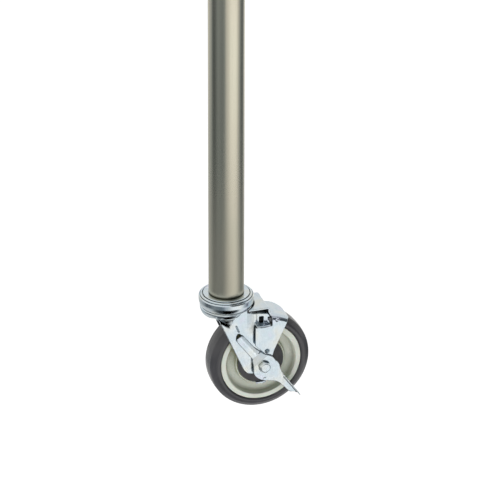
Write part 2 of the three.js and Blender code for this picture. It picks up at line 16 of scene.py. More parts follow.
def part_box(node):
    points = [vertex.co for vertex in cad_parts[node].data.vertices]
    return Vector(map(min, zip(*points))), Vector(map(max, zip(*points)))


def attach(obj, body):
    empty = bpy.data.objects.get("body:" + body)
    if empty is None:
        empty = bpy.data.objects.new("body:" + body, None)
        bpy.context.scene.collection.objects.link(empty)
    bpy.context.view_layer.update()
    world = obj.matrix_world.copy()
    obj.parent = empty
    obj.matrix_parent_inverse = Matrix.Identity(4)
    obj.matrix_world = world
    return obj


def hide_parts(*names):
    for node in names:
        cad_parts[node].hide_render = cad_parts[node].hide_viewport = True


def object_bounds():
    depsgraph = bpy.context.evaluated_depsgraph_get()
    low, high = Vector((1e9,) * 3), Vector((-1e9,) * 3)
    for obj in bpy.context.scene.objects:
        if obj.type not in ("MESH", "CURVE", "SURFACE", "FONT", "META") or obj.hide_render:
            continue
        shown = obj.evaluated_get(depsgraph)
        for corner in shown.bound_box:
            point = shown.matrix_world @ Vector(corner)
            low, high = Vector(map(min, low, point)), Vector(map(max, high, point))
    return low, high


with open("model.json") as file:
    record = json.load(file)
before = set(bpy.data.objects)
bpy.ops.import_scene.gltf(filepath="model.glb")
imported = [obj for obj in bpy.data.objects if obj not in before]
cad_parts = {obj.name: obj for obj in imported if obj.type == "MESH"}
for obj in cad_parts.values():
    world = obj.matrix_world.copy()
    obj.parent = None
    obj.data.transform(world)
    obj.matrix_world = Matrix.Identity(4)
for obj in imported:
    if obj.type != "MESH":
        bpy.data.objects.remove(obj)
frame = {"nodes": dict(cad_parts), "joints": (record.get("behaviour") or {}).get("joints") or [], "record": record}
cad_low, cad_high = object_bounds()

MM = 0.001
JOINTS = {joint["name"]: joint for joint in frame["joints"]}
TUBE_END = Vector((0, 0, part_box("leg_tube")[0].z))
AXLE = Vector(JOINTS["wheel_spin"]["pos_m"])
TRAIL = (AXLE.x - TUBE_END.x) / MM
DROP = (TUBE_END.z - AXLE.z) / MM


def half_width(node):
    """How far a round node reaches from its own axis, in millimetres."""
    low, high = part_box(node)
    return (high.x - low.x) / 2 / MM


# ---------------------------------------------------------------- driving dimensions
TUBE = {"radius": half_width("leg_tube"), "wall": 1.5}
TUBE_LENGTH = (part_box("leg_tube")[1].z - TUBE_END.z) / MM
TOP_DISC = {"radius": 27.8, "top": -0.3, "bottom": -2.6}
RACEWAY = {"radius": 31.1, "rim": -1.2, "top": -2.9, "bottom": -5.4, "groove": 1.0}
SKIRT = {"radius": half_width("swivel_skirt"), "top": -3.1, "bottom": -15.4, "wall": 1.4}
CUP = {"radius": 29.5, "swell": 2.4, "top": -13.6, "behind": -25, "beside": -20, "ahead": -17.2}
KINGPIN = 8
PLATE = 3
LEG_OUTER = 22
LEVER_PLATE = 2.4
BRAKE_PLATE = 2
STRIP_INNER = LEG_OUTER + 0.7
HUB_INNER = LEG_OUTER + 3.6
HUB_OUTER = HUB_INNER + LEVER_PLATE
SHOE_INNER = LEG_OUTER + 3.3
SHOE_OUTER = SHOE_INNER + BRAKE_PLATE
HOOK = {"left": 29.5, "right": 46.5, "top": -38.4, "lip": -41.2, "reach": 30, "thick": 1.8}
WINDOW = {"left": 34.4, "right": 39.8, "top": -29.4}
AXLE_RADIUS = 4
HEX_FLATS = 13
WHEEL = {"radius": 63.5, "half": 16, "core": 50.5, "flat": 10}


# ---------------------------------------------------------------- outlines
def rounded(corners, degrees=12):
    """The points of a closed outline of (x, y) or (x, y, radius) corners, with true arcs."""
    points = []
    count = len(corners)
    for i, (x, y, *radius) in enumerate(corners):
        here = Vector((x, y))
        if not radius:
            points.append(here)
            continue
        before = (Vector(corners[i - 1][:2]) - here).normalized()
        after = (Vector(corners[(i + 1) % count][:2]) - here).normalized()
        half = before.angle(after) / 2
        centre = here + (before + after).normalized() * radius[0] / math.sin(half)
        start = here + before * radius[0] / math.tan(half) - centre
        end = here + after * radius[0] / math.tan(half) - centre
        sweep = start.angle(end)
        steps = max(2, round(math.degrees(sweep) / degrees))
        for k in range(steps + 1):
            near = math.sin((1 - k / steps) * sweep) / math.sin(sweep)
            far = math.sin(k / steps * sweep) / math.sin(sweep)
            points.append(centre + start * near + end * far)
    return points


def arc(x, y, radius, start, end, steps=16):
    """Points round a centre, from one angle in degrees to another."""
    angles = [math.radians(start + (end - start) * k / steps) for k in range(steps + 1)]
    return [(x + radius * math.cos(a), y + radius * math.sin(a)) for a in angles]


def curve(start, pull, end, steps=8):
    """Points of a curve that leaves start towards pull and arrives at end from it."""
    points = []
    for k in range(1, steps + 1):
        t = k / steps
        w = ((1 - t) ** 2, 2 * t * (1 - t), t * t)
        points.append(tuple(w[0] * a + w[1] * b + w[2] * c for a, b, c in zip(start, pull, end)))
    return points


# ---------------------------------------------------------------- pieces
MATERIALS = {}


def place(name, points, faces, origin, body, slot, replaced, normals=None):
    """A mesh piece from points in millimetres about an origin, standing for CAD nodes."""
    mesh = bpy.data.meshes.new(name)
    mesh.from_pydata(points * MM + np.array(origin), [], faces)
    mesh.validate()
    mesh.shade_smooth()
    if normals is not None:
        mesh.normals_split_custom_set_from_vertices(normals)
    mesh.materials.append(MATERIALS[slot])
    piece = bpy.data.objects.new(name, mesh)
    bpy.context.scene.collection.objects.link(piece)
    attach(piece, body)
    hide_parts(*replaced)
    return piece


def lathe(name, corners, sides, axis, body, slot, replaced):
    """A ring turned from a section of (radius, height) corners: about Z through the tube's
    end, or about Y through the axle, where a section's height is its -y."""
    section = np.array([tuple(p) for p in rounded(corners)])
    following = np.roll(section, -1, axis=0)
    if (section[:, 0] * following[:, 1] - section[:, 1] * following[:, 0]).sum() < 0:
        section = section[::-1]
    count = len(section)
    angles = np.arange(sides) * 2 * math.pi / sides + math.pi / sides
    radius, height = section[:, 0], np.broadcast_to(section[:, 1], (sides, count))
    across = np.cos(angles)[:, None] * radius
    beside = np.sin(angles)[:, None] * radius
    if axis == "Z":
        points = np.stack([across, beside, height], -1)
        origin = TUBE_END
    else:
        points = np.stack([across, -height, beside], -1)
        origin = AXLE
    faces = []
    for i in range(sides):
        near, far = i * count, (i + 1) % sides * count
        for j in range(count):
            up = (j + 1) % count
            faces.append((near + j, far + j, far + up, near + up))
    piece = place(name, points.reshape(-1, 3), faces, origin, body, slot, replaced)
    weigh = piece.modifiers.new("flat_faces_stay_flat", "WEIGHTED_NORMAL")
    weigh.keep_sharp = True
    return piece


# ---------------------------------------------------------------- pressed and bent solids
def slope(distance, points):
    """The value and the gradient of a distance at many points."""
    step = 0.02
    value = distance(*points.T)
    ahead = [distance(*(points + step * np.eye(3)[k]).T) for k in range(3)]
    behind = [distance(*(points - step * np.eye(3)[k]).T) for k in range(3)]
    return value, (np.array(ahead) - np.array(behind)).T / (2 * step)


def skin(distance, low, high, cell):
    """The surface where distance(x, y, z) is 0, as quads: one point for each cell that it
    crosses, settled onto the surface. Returns the points, the faces and the normals."""
    lines = [np.arange(a - 2 * cell, b + 2.5 * cell, cell) for a, b in zip(low, high)]
    shape = tuple(len(line) for line in lines)
    value = np.broadcast_to(
        distance(lines[0][:, None, None], lines[1][None, :, None], lines[2][None, None, :]), shape
    )
    inside = value < 0
    filled = np.zeros(tuple(n - 1 for n in shape), int)
    for shift in np.ndindex(2, 2, 2):
        filled += inside[tuple(slice(s, n - 1 + s) for s, n in zip(shift, shape))]
    crossed = (filled > 0) & (filled < 8)
    cells = np.argwhere(crossed)
    number = np.full(crossed.shape, -1)
    number[crossed] = np.arange(len(cells))

    total = np.zeros((len(cells), 3))
    hits = np.zeros(len(cells))
    for axis in range(3):
        for shift in np.ndindex(2, 2):
            start = cells.copy()
            start[:, (axis + 1) % 3] += shift[0]
            start[:, (axis + 2) % 3] += shift[1]
            end = start.copy()
            end[:, axis] += 1
            a, b = value[tuple(start.T)], value[tuple(end.T)]
            crosses = (a < 0) != (b < 0)
            at = start.astype(float)
            at[:, axis] += np.divide(a, a - b, out=np.zeros(len(cells)), where=crosses)
            total += at * crosses[:, None]
            hits += crosses
    points = np.array([line[0] for line in lines]) + total / hits[:, None] * cell
    for _ in range(4):
        away, gradient = slope(distance, points)
        steep = np.maximum((gradient ** 2).sum(1), 0.05)
        move = (away / steep)[:, None] * gradient
        points -= np.clip(move, -cell / 2, cell / 2)
    normals = slope(distance, points)[1]
    normals /= np.maximum(np.linalg.norm(normals, axis=1), 1e-9)[:, None]

    faces = []
    for axis in range(3):
        u, v = (axis + 1) % 3, (axis + 2) % 3
        from_side = [slice(1, -1)] * 3
        from_side[axis] = slice(0, -1)
        to_side = [slice(1, -1)] * 3
        to_side[axis] = slice(1, None)
        leaves = inside[tuple(from_side)] & ~inside[tuple(to_side)]
        enters = ~inside[tuple(from_side)] & inside[tuple(to_side)]
        for change, turn in ((leaves, 1), (enters, -1)):
            at = np.argwhere(change)
            at[:, u] += 1
            at[:, v] += 1
            ring = []
            for du, dv in ((-1, -1), (0, -1), (0, 0), (-1, 0)):
                corner = at.copy()
                corner[:, u] += du
                corner[:, v] += dv
                ring.append(number[tuple(corner.T)])
            faces.append(np.stack(ring[::turn], 1))
    return points, np.concatenate(faces), normals


def both(a, b, radius=0.0):
    """Where two solids overlap, with the new edge rounded."""
    edge = np.hypot(np.maximum(a + radius, 0), np.maximum(b + radius, 0))
    return np.minimum(np.maximum(a, b), -radius) + edge


def either(a, b, radius=0.0):
    """Two solids as one, with a fillet in the corner between them."""
    return -both(-a, -b, radius)


def inside_of(points):
    """The distance to a closed outline, negative inside it, as a function of two arrays."""
    ends = [tuple(p) for p in points]
    sides = list(zip(ends, ends[1:] + ends[:1]))

    def distance(u, v):
        nearest = np.inf
        within = False
        for (ax, ay), (bx, by) in sides:
            ex, ey = bx - ax, by - ay
            if ex == 0 and ey == 0:
                continue
            wx, wy = u - ax, v - ay
            t = np.clip((wx * ex + wy * ey) / (ex * ex + ey * ey), 0, 1)
            nearest = np.minimum(nearest, (wx - ex * t) ** 2 + (wy - ey * t) ** 2)
            if ey != 0:
                within = within ^ (((ay > v) != (by > v)) & (u < ax + wy * ex / ey))
        return np.where(within, -1, 1) * np.sqrt(nearest)

    return distance


def bent(a, b, radius):
    """The distance to the middle of a plate that turns a corner: a and b count inwards
    from its two flats."""
    round_part = radius - np.hypot(radius - a, radius - b)
    return np.where((a < radius) & (b < radius), round_part, np.minimum(a, b))


def smooth_step(t):
    t = np.clip(t, 0, 1)
    return t * t * (3 - 2 * t)


def pressed(name, distance, low, high, cell, origin, body, slot, replaced):
    points, faces, normals = skin(distance, low, high, cell)
    return place(name, points, faces, origin, body, slot, replaced, normals)


# ---------------------------------------------------------------- materials
class Shader:
    """A material's node tree, written as calls: node(kind, settings, input=value or socket)."""

    def __init__(self, name, **surface):
        self.material = bpy.data.materials.new(name)
        self.material.use_nodes = True
        self.tree = self.material.node_tree
        self.surface = self.tree.nodes["Principled BSDF"]
        for socket, value in surface.items():
            self.surface.inputs[socket.replace("_", " ")].default_value = value
        self.place = self.node("ShaderNodeTexCoord").outputs["Object"]

    def node(self, kind, settings=None, **inputs):
        made = self.tree.nodes.new(kind)
        for key, value in (settings or {}).items():
            setattr(made, key, value)
        for key, value in inputs.items():
            self.feed(made, key.replace("_", " "), value)
        return made

    def feed(self, node, key, value):
        socket = node.inputs[int(key[3:])] if key.startswith("in ") else node.inputs[key]
        if isinstance(value, bpy.types.NodeSocket):
            self.tree.links.new(value, socket)
        else:
            socket.default_value = value

    def stretched(self, x, y, z):
        """Object coordinates times a number of repeats for each millimetre."""
        scale = (x / MM, y / MM, z / MM)
        return self.node("ShaderNodeMapping", Vector=self.place, Scale=scale).outputs["Vector"]

    def noise(self, vector, detail=4.0, roughness=0.5):
        made = self.node("ShaderNodeTexNoise", Vector=vector, Scale=1.0, Detail=detail,
                         Roughness=roughness)
        return made.outputs["Fac"]

    def ramp(self, value, *stops):
        """Colours at places from 0 to 1 along value."""
        made = self.node("ShaderNodeValToRGB", Fac=value)
        elements = made.color_ramp.elements
        while len(elements) < len(stops):
            elements.new(0.5)
        for element, (at, colour) in zip(elements, stops):
            element.position = at
            element.color = (*colour, 1) if len(colour) == 3 else colour
        return made.outputs["Color"]

    def span(self, value, low, high, start=0.3, end=0.7):
        """value from start to end carried to low to high."""
        settings = {"interpolation_type": "SMOOTHSTEP"}
        made = self.node("ShaderNodeMapRange", settings, Value=value)
        numbers = {"From Min": start, "From Max": end, "To Min": low, "To Max": high}
        for key, number in numbers.items():
            made.inputs[key].default_value = number
        return made.outputs["Result"]

    def math(self, operation, a, b):
        made = self.node("ShaderNodeMath", {"operation": operation}, in_0=a, in_1=b)
        return made.outputs["Value"]

    def mix(self, factor, a, b, blend="MIX"):
        made = self.node("ShaderNodeMix", {"data_type": "RGBA", "blend_type": blend})
        self.feed(made, "in 0", factor)
        self.feed(made, "in 6", a)
        self.feed(made, "in 7", b)
        return made.outputs[2]

    def bump(self, height, depth, strength=1.0, over=None):
        """A bump of a depth in millimetres, laid over another."""
        made = self.node("ShaderNodeBump", Height=height, Distance=depth * MM, Strength=strength)
        if over is not None:
            self.feed(made, "Normal", over)
        return made.outputs["Normal"]

    def wear(self):
        """1 on sharp outer edges and 0 on flats."""
        pointed = self.node("ShaderNodeNewGeometry").outputs["Pointiness"]
        return self.span(pointed, 0.0, 1.0, 0.52, 0.62)

    def finish(self, colour, roughness, normal):
        self.feed(self.surface, "Base Color", colour)
        self.feed(self.surface, "Roughness", roughness)
        self.feed(self.surface, "Normal", normal)
        return self.material


def satin_stainless():
    """Ground tube: faint rings, a cloudy olive film, a few long handling scratches, and painted shade at its
    bottom end.
    """
    s = Shader("satin_stainless", Metallic=1.0, Anisotropic=0.4)
    rings = s.noise(s.stretched(0.02, 0.02, 2.2), 3.0)
    grain = s.noise(s.stretched(0.8, 0.8, 1.6), 4.0, 0.6)
    cloud = s.noise(s.stretched(0.03, 0.03, 0.012), 2.0)
    scratch = s.noise(s.stretched(1.6, 1.6, 0.01), 2.0)
    tone = s.ramp(grain, (0.3, (0.60, 0.56, 0.45)), (0.7, (0.66, 0.62, 0.51)))
    tone = s.mix(s.span(cloud, 0.0, 0.5), tone, (0.58, 0.57, 0.46, 1))
    height = s.node("ShaderNodeSeparateXYZ", Vector=s.place).outputs["Z"]
    end = TUBE_END.z
    # painted shade: the tube's last 3 mm above its bottom end darken to near-black olive, standing for the contact
    # shadow where it sits on the head's disc.
    painted_base_shade = s.span(height, 1.0, 0.0, end + 0.4 * MM, end + 3.2 * MM)
    tone = s.mix(painted_base_shade, tone, (0.10, 0.095, 0.06, 1))
    haze = s.span(height, 0.2, 0.0, end, end + 0.3)
    rough = s.math("ADD", s.span(grain, 0.15, 0.2), s.span(scratch, 0.0, 0.08, 0.62, 0.72))
    rough = s.math("ADD", rough, haze)
    normal = s.bump(rings, 0.0015)
    normal = s.bump(s.noise(s.stretched(0.45, 0.45, 0.7), 3.0), 0.0025, 1.0, normal)
    tangent = s.node("ShaderNodeTangent", {"direction_type": "RADIAL", "axis": "Z"})
    s.feed(s.surface, "Tangent", tangent.outputs["Tangent"])
    return s.finish(tone, rough, normal)


def zinc_plate():
    """Blue-white plating over pressed steel, a little straw and violet where it is thin, and painted shade in its
    crevices.
    """
    s = Shader("zinc_plate", Metallic=1.0)
    film = s.noise(s.stretched(0.05, 0.05, 0.05), 2.0)
    cloud = s.noise(s.stretched(0.4, 0.4, 0.4), 5.0, 0.6)
    rolled = s.noise(s.stretched(0.9, 0.9, 0.08), 3.0)
    blue, pale = (0.64, 0.74, 0.81), (0.72, 0.78, 0.82)
    straw, violet = (0.75, 0.77, 0.73), (0.70, 0.73, 0.84)
    tone = s.ramp(film, (0.3, violet), (0.42, blue), (0.55, pale), (0.7, straw))
    tone = s.mix(s.span(cloud, 0.0, 0.3), tone, (0.66, 0.74, 0.79, 1))
    tone = s.mix(s.wear(), tone, (0.88, 0.89, 0.89, 1))
    # painted shade: where ambient occlusion within 2.5 mm finds the plating hemmed in, in grooves and where parts
    # meet, it darkens to near-black olive.
    crevice_shade = s.node("ShaderNodeAmbientOcclusion", {"samples": 5}, Distance=2.5 * MM).outputs["AO"]
    tone = s.mix(s.span(crevice_shade, 0.9, 0.0, 0.3, 0.6), tone, (0.10, 0.11, 0.085, 1))
    rough = s.math("ADD", s.span(cloud, 0.12, 0.2), s.span(rolled, 0.0, 0.06))
    normal = s.bump(cloud, 0.01)
    normal = s.bump(rolled, 0.004, 1.0, normal)
    return s.finish(tone, rough, normal)


def machined_steel():
    """Plain turned steel, a film of grease dulling it in patches, and its whole tone held near black as painted
    shade.
    """
    s = Shader("machined_steel", Metallic=1.0)
    cuts = s.noise(s.stretched(0.1, 0.1, 3.0), 2.0)
    grease = s.noise(s.stretched(0.15, 0.15, 0.15), 4.0)
    # painted shade: both ends of this ramp are near black, standing for the shade these tucked-away steel parts
    # sit in.
    tone = s.ramp(grease, (0.35, (0.10, 0.10, 0.11)), (0.65, (0.22, 0.23, 0.25)))
    tone = s.mix(s.wear(), tone, (0.42, 0.43, 0.45, 1))
    return s.finish(tone, s.span(grease, 0.34, 0.2), s.bump(cuts, 0.01))


def polyurethane():
    """Dark grey cast tread, glossy, with scuffs and dust in its fine pores."""
    s = Shader("polyurethane", IOR=1.5)
    pores = s.noise(s.stretched(1.2, 1.2, 1.2), 3.0)
    scuff = s.noise(s.stretched(0.12, 0.5, 0.12), 5.0, 0.6)
    cloud = s.noise(s.stretched(0.04, 0.04, 0.04), 2.0)
    tone = s.ramp(cloud, (0.3, (0.056, 0.056, 0.060)), (0.7, (0.070, 0.068, 0.075)))
    tone = s.mix(s.span(scuff, 0.0, 0.3, 0.55, 0.8), tone, (0.085, 0.082, 0.088, 1))
    tone = s.mix(s.wear(), tone, (0.09, 0.09, 0.095, 1))
    rough = s.math("ADD", s.span(scuff, 0.14, 0.22), s.span(pores, 0.0, 0.04))
    normal = s.bump(pores, 0.004)
    normal = s.bump(scuff, 0.006, 0.7, normal)
    return s.finish(tone, rough, normal)


def cream_plastic():
    """Moulded polyolefin: flow marks, a soft sheen and painted shade in the hollows."""
    s = Shader("cream_plastic", IOR=1.5, Subsurface_Weight=0.1, Subsurface_Scale=0.002)
    flow = s.noise(s.stretched(0.06, 0.1, 0.06), 4.0, 0.6)
    skin_grain = s.noise(s.stretched(1.5, 1.5, 1.5), 3.0)
    hollow_shade = s.node("ShaderNodeAmbientOcclusion", {"samples": 6}, Distance=18 * MM).outputs["AO"]
    tone = s.ramp(flow, (0.3, (0.68, 0.72, 0.63)), (0.7, (0.78, 0.81, 0.73)))
    # painted shade: where ambient occlusion within 18 mm finds a hollow, as in the bowl round the hub, the cream
    # darkens to olive.
    tone = s.mix(s.span(hollow_shade, 1.0, 0.0, 0.4, 0.95), tone, (0.22, 0.23, 0.13, 1))
    normal = s.bump(skin_grain, 0.006)
    normal = s.bump(flow, 0.03, 0.6, normal)
    return s.finish(tone, s.span(flow, 0.18, 0.28), normal)


def cap_plastic():
    """Dark grey moulded plastic with an eroded tool texture."""
    s = Shader("cap_plastic", IOR=1.5)
    texture = s.noise(s.stretched(2.2, 2.2, 2.2), 2.0)
    cloud = s.noise(s.stretched(0.1, 0.1, 0.1), 4.0)
    tone = s.ramp(cloud, (0.3, (0.050, 0.048, 0.052)), (0.7, (0.075, 0.072, 0.076)))
    tone = s.mix(s.wear(), tone, (0.12, 0.12, 0.12, 1))
    return s.finish(tone, s.span(cloud, 0.4, 0.52), s.bump(texture, 0.03))


def black_rubber():
    """The expanding sleeve: matt rubber with a fine bloom."""
    s = Shader("black_rubber", IOR=1.5)
    bloom = s.noise(s.stretched(0.3, 0.3, 0.3), 4.0)
    tone = s.ramp(bloom, (0.4, (0.018, 0.018, 0.020)), (0.7, (0.045, 0.045, 0.045)))
    return s.finish(tone, s.span(bloom, 0.6, 0.85), s.bump(bloom, 0.04))


MATERIALS.update({
    "stainless": satin_stainless(),
    "zinc": zinc_plate(),
    "steel": machined_steel(),
    "polyurethane": polyurethane(),
    "cream": cream_plastic(),
    "cap": cap_plastic(),
    "rubber": black_rubber(),
})


# ---------------------------------------------------------------- leg and swivel head
def leg_tube():
    inner, outer = TUBE["radius"] - TUBE["wall"], TUBE["radius"]
    rim = 0.5
    corners = [
        (inner, 0, rim),
        (outer, 0, rim),
        (outer, TUBE_LENGTH, rim),
        (inner, TUBE_LENGTH, rim),
    ]
    lathe("satin_tube", corners, 128, "Z", "leg", "stainless", ["leg_tube"])


def swivel_head():
    bore = KINGPIN + 0.3
    disc = [
        (bore, TOP_DISC["bottom"], 0.3),
        (TOP_DISC["radius"], TOP_DISC["bottom"], 0.4),
        (TOP_DISC["radius"], TOP_DISC["top"], 0.8),
        (bore, TOP_DISC["top"], 0.3),
    ]
    lathe("head_top_disc", disc, 128, "Z", "leg", "zinc", ["top_disc"])
    groove = TOP_DISC["radius"] + RACEWAY["groove"]
    race = [
        (bore, RACEWAY["bottom"], 0.3),
        (RACEWAY["radius"], RACEWAY["bottom"], 0.8),
        (RACEWAY["radius"], RACEWAY["rim"], 1.5),
        (groove, RACEWAY["rim"], 0.7),
        (groove, RACEWAY["top"], 0.3),
        (bore, RACEWAY["top"], 0.3),
    ]
    lathe("head_raceway", race, 128, "Z", "leg", "zinc", ["raceway_plate"])
    outer, wall, bottom = SKIRT["radius"], SKIRT["wall"], SKIRT["bottom"]
    skirt = [
        (outer - wall, SKIRT["top"], 0.2),
        (outer - 0.5, SKIRT["top"], 0.3),
        (outer, -4.6, 1.2),
        (outer, -9.4, 8),
        (outer - 0.6, -13.2, 8),
        (outer - 1.7, bottom, 0.5),
        (outer - 2.3, bottom + 0.8, 0.4),
        (outer - 0.6 - wall, -12.4, 3),
        (outer - wall, -8.6, 6),
    ]
    lathe("head_skirt", skirt, 128, "Z", "leg", "zinc", ["swivel_skirt"])


# ---------------------------------------------------------------- fork
def leg_outline(side):
    """A leg's outline in X and Z; the near leg's top edge slopes down under the shoe."""
    plain = [(51, -38, 6), (48.6, -19.2, 4), (19.6, -18.6)]
    relieved = [(51, -45, 3), (48, -41, 3), (48, -30.2, 1), (45.5, -26.5, 1), (19.6, -22, 1)]
    return rounded([
        (-19.6, CUP["top"] - 1),
        (-19.6, -25.5, 2),
        (-15.6, -27.5, 3),
        (18, -105.6, 12),
        (51, -105.6, 9),
        *(plain if side > 0 else relieved),
        (19.6, CUP["top"] - 1),
    ])


def fork_distance():
    top = CUP["top"] - PLATE / 2
    flat = LEG_OUTER - PLATE / 2
    near, far = inside_of(leg_outline(-1)), inside_of(leg_outline(1))
    lip = HOOK["reach"] - HOOK["thick"]
    hook = inside_of(rounded([
        (LEG_OUTER - 1.5, HOOK["top"]),
        (LEG_OUTER - 1.5, HOOK["top"] - HOOK["thick"]),
        (lip, HOOK["top"] - HOOK["thick"], 0.6),
        (lip, HOOK["lip"], 0.4),
        (HOOK["reach"], HOOK["lip"], 0.4),
        (HOOK["reach"], HOOK["top"], 2.2),
    ]))
    window = inside_of(rounded([
        (WINDOW["left"], HOOK["top"], 0.5),
        (WINDOW["right"], HOOK["top"], 0.5),
        (WINDOW["right"], WINDOW["top"], 1),
        (WINDOW["left"], WINDOW["top"], 1),
    ]))

    def distance(x, y, z):
        radius = np.hypot(x, y)
        swell = CUP["swell"] * smooth_step((-15.2 - z) / 2.4) - 0.045 * np.maximum(-18 - z, 0) ** 2
        middle = CUP["radius"] + np.maximum(swell, -1) - PLATE / 2
        cup = np.abs(bent(middle - radius, top - z, 2.0)) - PLATE / 2
        rim = np.interp(x, (-26, -13, 0), (CUP["behind"], CUP["beside"], CUP["ahead"]))
        cup = both(cup, rim - z, 0.8)
        cup = both(cup, KINGPIN + 2 - radius, 0.4)
        line = 4.9 + (z + 25.4) * 0.53
        shoulder = smooth_step((CUP["beside"] - z) / 22)
        ahead = smooth_step((x - line + 6) / 6)
        fade = 7.5 * np.maximum(shoulder, ahead)
        crease = np.clip(0.14 * (x - 19.2), 0, 1.1) * smooth_step((33 - x) / 4)
        face = flat + crease * smooth_step((z + 54) / 22)
        sheet = np.abs(either(radius - middle + fade, np.abs(y) - face, 3.0)) - PLATE / 2
        legs = both(sheet, np.where(y < 0, near(x, z), far(x, z)), 0.6)
        legs = both(legs, CUP["radius"] / 3 - np.abs(y))
        half = (HOOK["right"] - HOOK["left"]) / 2
        along = np.abs(x - HOOK["left"] - half) - half
        bow = 1.4 * ((x - HOOK["left"] - half) / half) ** 2
        lip_end = HOOK["lip"] + np.where(-y > lip - 0.5, bow, -9.0) - z
        tab = both(both(hook(-y, z), along, 0.9), lip_end, 0.4)
        body = either(either(cup, legs, 1.5), tab, 0.25)
        opening = both(window(x, z), y, 0)
        oval = (np.hypot((x - 9) * 1.7, z + 54) - 3.2 * 1.7) / 1.7
        along_mark = np.clip((38.1 + z) / -7.8, 0, 1)
        mark = np.sqrt((x - 5.6 - 3.2 * along_mark) ** 2 + (z + 38.1 + 7.8 * along_mark) ** 2
                       + 0.4 * (y + LEG_OUTER) ** 2) - 0.75
        opening = np.minimum(np.minimum(opening, both(oval, y, 0)), mark)
        hole = AXLE_RADIUS + 0.2 - np.hypot(x - TRAIL, z + DROP)
        return both(both(body, -opening, 0.4), hole, 0.4)

    return distance


def fork():
    reach = CUP["radius"] + CUP["swell"]
    low, high = (-reach, -reach, -106), (52, reach, CUP["top"])
    pressed("pressed_fork", fork_distance(), low, high, 0.75, TUBE_END, "fork", "zinc", ["fork"])


# ---------------------------------------------------------------- axle
def hexagon(flats, u, v, turn=0.0):
    """The distance to a hexagon's sides."""
    angles = [math.radians(60 * k) + turn for k in range(3)]
    reach = [np.abs(u * math.cos(a) + v * math.sin(a)) for a in angles]
    return np.maximum(np.maximum(reach[0], reach[1]), reach[2]) - flats / 2


def axle_bolt():
    inner = HUB_OUTER + 0.2
    outer = inner + 5.4

    def distance(x, y, z):
        radius = np.hypot(x, z)
        shank = both(radius - AXLE_RADIUS, np.abs(y + inner / 2 - 17) - (inner + 34) / 2, 0.6)
        head = hexagon(HEX_FLATS, x, z, 0.2)
        head = both(head, np.abs(y + (inner + outer) / 2) - (outer - inner) / 2, 0.3)
        bevel = (radius - HEX_FLATS / 2 + 1.2 - (y + outer) * 1.0) / 1.41
        return either(shank, both(head, bevel, 0.3), 0.2)

    reach = HEX_FLATS * 0.6
    low, high = (-reach, -outer, -reach), (reach, 34, reach)
    pressed("axle_hex_bolt", distance, low, high, 0.4, AXLE, "fork", "zinc", ["axle_bolt"])


def axle_nut():
    inner, length = LEG_OUTER + 2.2, 7.8
    middle = inner + length / 2

    def distance(x, y, z):
        radius = np.hypot(x, z)
        body = both(hexagon(HEX_FLATS, x, z), np.abs(y - middle) - length / 2, 0.3)
        cone = (radius - HEX_FLATS / 2 - 0.1 + (np.abs(y - middle) - length / 2) * 1.6) / 1.9
        bore = AXLE_RADIUS + 0.1 - radius
        return both(both(body, cone, 0.2), bore, 0.4)

    reach = HEX_FLATS * 0.6
    low, high = (-reach, inner, -reach), (reach, inner + length, reach)
    pressed("axle_lock_nut", distance, low, high, 0.4, AXLE, "fork", "zinc", ["axle_nut"])


def washers():
    def ring(name, y0, y1, node):
        bore = AXLE_RADIUS + 0.1
        corners = [(bore, -y1, 0.2), (8, -y1, 0.3), (8, -y0, 0.3), (bore, -y0, 0.2)]
        lathe(name, corners, 64, "Y", "fork", "zinc", [node])

    ring("axle_plain_washer", LEG_OUTER + 0.2, LEG_OUTER + 1.9, "axle_washer")
    ring("lever_spacing_washer", -HUB_INNER + 0.2, -LEG_OUTER - 0.2, "lever_spacer")


# ---------------------------------------------------------------- wheel
def mirrored(half):
    """A section and its reflection in the wheel's centre plane."""
    return half + [(c[0], -c[1], *c[2:]) for c in reversed(half)]


def wheel():
    radius, half, core = WHEEL["radius"], WHEEL["half"], WHEEL["core"]
    tyre = mirrored([
        (core + 0.1, -half + 1, 0.3),
        (core + 2, -half, 2),
        (radius - 7, -half, 6),
        (radius - 0.6, -WHEEL["flat"] - 0.6, 5),
        (radius - 0.05, -2, 20),
    ])
    lathe("polyurethane_tyre", tyre, 192, "Y", "wheel", "polyurethane", ["tread"])
    rim = half - 0.8
    bore = 15.1
    centre = mirrored([
        (bore, -11.2, 0.3),
        (28, -11.2, 0.5),
        (30.6, -12.2, 1),
        (32.4, -8.2, 2.5),
        (41, -8.2, 4),
        (44.4, -rim, 1.2),
        (core, -rim, 0.8),
    ])
    lathe("moulded_wheel_core", centre, 192, "Y", "wheel", "cream", ["wheel_core"])
    for end, side in (("near", 1), ("far", -1)):
        cap = [
            (10.2, 11.5, 0.3),
            (27.6, 11.5, 0.5),
            (29.4, 12.9, 0.6),
            (27.9, 13.7, 0.6),
            (22, 13.2, 3),
            (14, 13.9, 1.5),
            (12, 18.1, 0.8),
            (10.2, 18.1, 0.3),
        ]
        corners = [(r, side * y, round_) for r, y, round_ in cap]
        lathe(f"dust_cap_{end}", corners, 128, "Y", "wheel", "cap", [f"hub_cap_{end}"])


